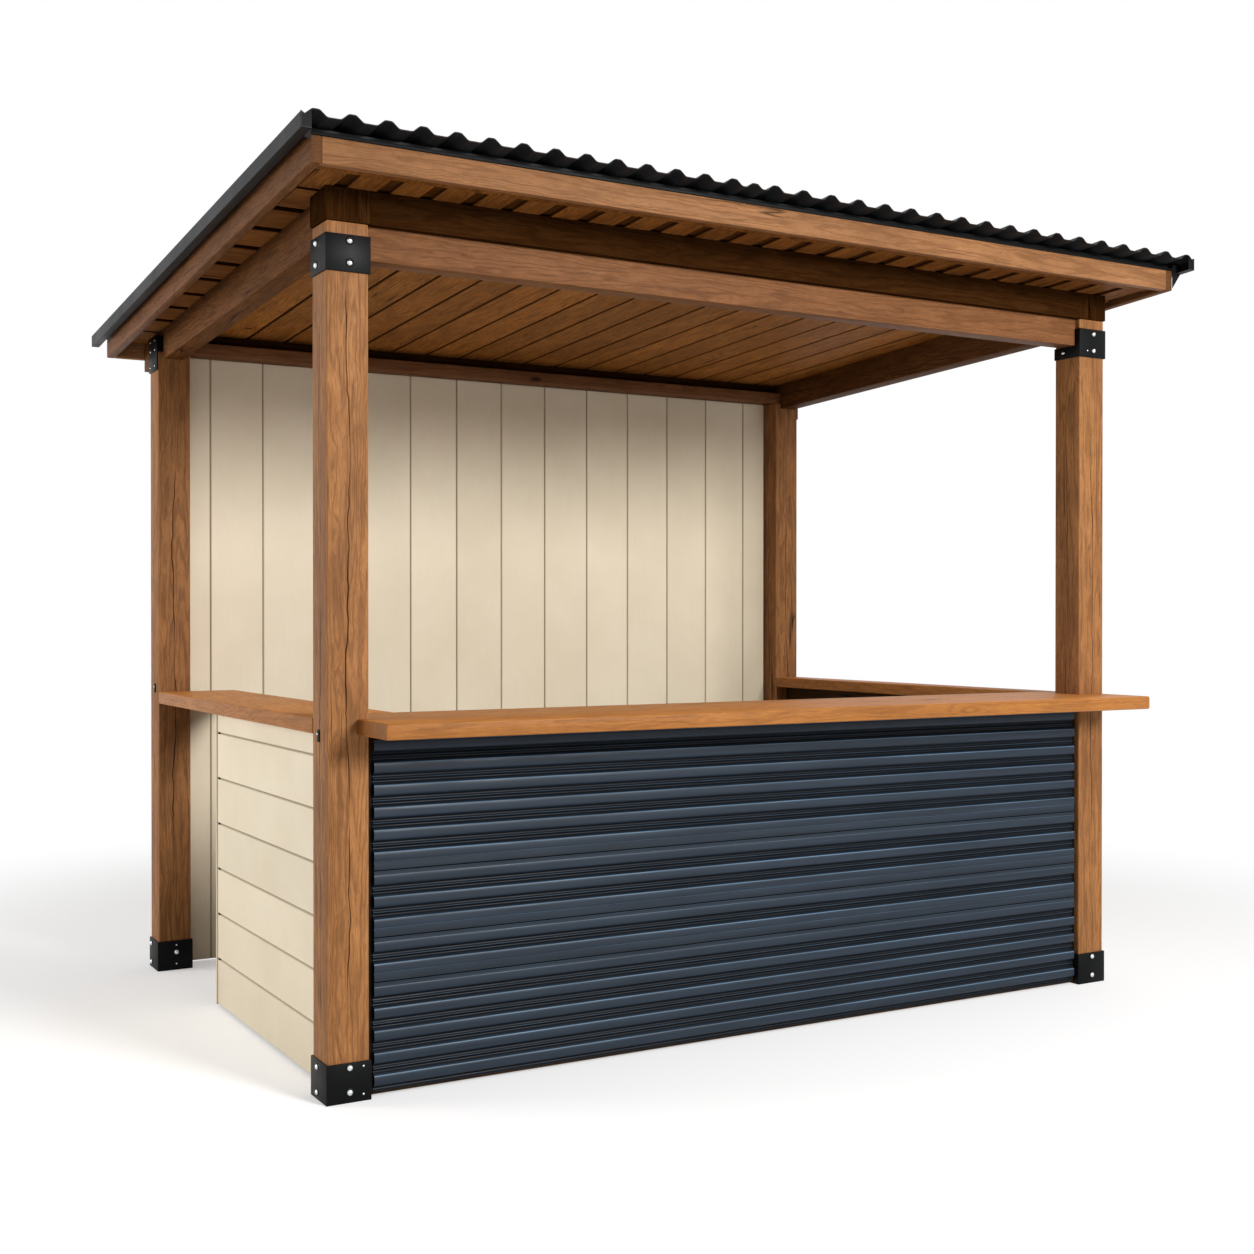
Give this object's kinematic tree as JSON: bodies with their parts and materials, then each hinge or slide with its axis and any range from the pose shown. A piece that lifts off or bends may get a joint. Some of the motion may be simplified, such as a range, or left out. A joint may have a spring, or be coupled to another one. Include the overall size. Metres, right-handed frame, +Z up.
{
  "type": "wooden market stall",
  "caption": "Open market stall with timber posts on steel shoes, a sloping corrugated roof, wooden counters and cream boarded panels.",
  "frame": {"origin": "on the ground, under the middle of the roof's outline, which is also the middle of the posts", "axes": "+X to the right along the serving front, +Y to the back, +Z up"},
  "size_m": [3.272, 2.544, 2.6116],
  "materials": {
    "post_timber": "stained, satin",
    "counter_timber": "stained, satin",
    "roof_timber": "stained, satin",
    "ceiling_boards": "stained, satin",
    "cream_boards": "painted, matt",
    "black_steel": "powder coated, satin",
    "roof_metal": "coated, matt",
    "front_metal": "coated, satin"
  },
  "bodies": {
    "root": {"front_left_post": "post_timber", "front_right_post": "post_timber", "back_left_post": "post_timber", "back_right_post": "post_timber", "front_left_cap_block": "post_timber", "front_right_cap_block": "post_timber", "front_beam": "post_timber", "front_plate": "post_timber", "left_beam": "post_timber", "right_beam": "post_timber", "back_rail": "post_timber", "back_plate": "post_timber", "front_counter": "counter_timber", "left_counter": "counter_timber", "right_counter": "counter_timber", "front_top_rail": "counter_timber", "front_bottom_rail": "counter_timber", "front_fascia": "roof_timber", "back_fascia": "roof_timber", "left_barge_board": "roof_timber", "right_barge_board": "roof_timber", "ceiling": "ceiling_boards", "front_soffit": "ceiling_boards", "back_soffit": "ceiling_boards", "left_soffit": "ceiling_boards", "right_soffit": "ceiling_boards", "left_panel": "cream_boards", "left_panel_trim": "cream_boards", "right_panel": "cream_boards", "back_wall": "cream_boards", "front_left_shoe": "black_steel", "front_right_shoe": "black_steel", "back_left_shoe": "black_steel", "back_right_shoe": "black_steel", "front_left_head_bracket": "black_steel", "front_right_head_bracket": "black_steel", "back_left_head_bracket": "black_steel", "back_right_head_bracket": "black_steel", "left_roof_sheet": "roof_metal", "right_roof_sheet": "roof_metal", "left_verge_trim": "roof_metal", "right_verge_trim": "roof_metal", "front_drip_strip": "roof_metal", "back_drip_strip": "roof_metal", "front_sheet": "front_metal"}
  },
  "joints": []
}
